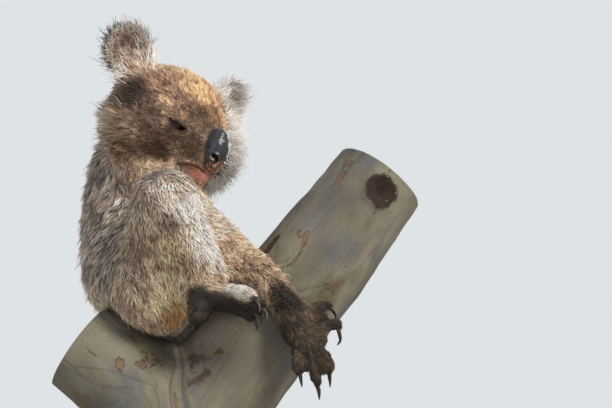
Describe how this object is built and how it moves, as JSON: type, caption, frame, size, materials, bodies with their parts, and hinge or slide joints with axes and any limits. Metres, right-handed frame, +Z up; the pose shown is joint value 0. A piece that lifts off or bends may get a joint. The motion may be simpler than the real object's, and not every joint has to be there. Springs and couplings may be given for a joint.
{
  "type": "koala figure on a branch stand",
  "caption": "Life-size koala asleep in the fork of a cut eucalypt branch, held up on a plain flat stand.",
  "frame": {"origin": "middle of the stand's underside", "axes": "+Z up, +X the way the koala's body faces and the cut branch rises, -Y the side of its right limbs, over which it droops its head"},
  "size_m": [0.4, 0.336, 0.7231],
  "materials": {
    "fur": "dense woolly coat, grey-brown to ochre, white on the chest and ear fringes",
    "nose_skin": "bare, fine-grained, blue-black with flesh-tan patches by the nostrils",
    "eye": "wet, dark brown",
    "claw": "horn, dark and slightly glossy",
    "bark": "smooth pale gum bark with grey and tan patches, sawn ends",
    "stand_base": "dark satin stain",
    "stand_rod": "brushed"
  },
  "bodies": {
    "root": {"arm_left": "fur", "arm_right": "fur", "claw_forepaw_left_1": "claw", "claw_forepaw_left_2": "claw", "claw_forepaw_left_3": "claw", "claw_forepaw_left_4": "claw", "claw_forepaw_left_5": "claw", "claw_forepaw_right_1": "claw", "claw_forepaw_right_2": "claw", "claw_forepaw_right_3": "claw", "claw_forepaw_right_4": "claw", "claw_forepaw_right_5": "claw", "claw_hindpaw_left_2": "claw", "claw_hindpaw_left_3": "claw", "claw_hindpaw_left_4": "claw", "claw_hindpaw_left_5": "claw", "claw_hindpaw_right_2": "claw", "claw_hindpaw_right_3": "claw", "claw_hindpaw_right_4": "claw", "claw_hindpaw_right_5": "claw", "ear_left": "fur", "ear_right": "fur", "eye_left": "eye", "eye_right": "eye", "forepaw_left": "fur", "forepaw_right": "fur", "head": "fur", "hindpaw_left": "fur", "hindpaw_right": "fur", "leg_left": "fur", "leg_right": "fur", "nose": "nose_skin", "perch_branch": "bark", "perch_stem": "bark", "stand_base": "stand_base", "stand_rod_1": "stand_rod", "stand_rod_2": "stand_rod", "trunk": "fur"}
  },
  "joints": []
}
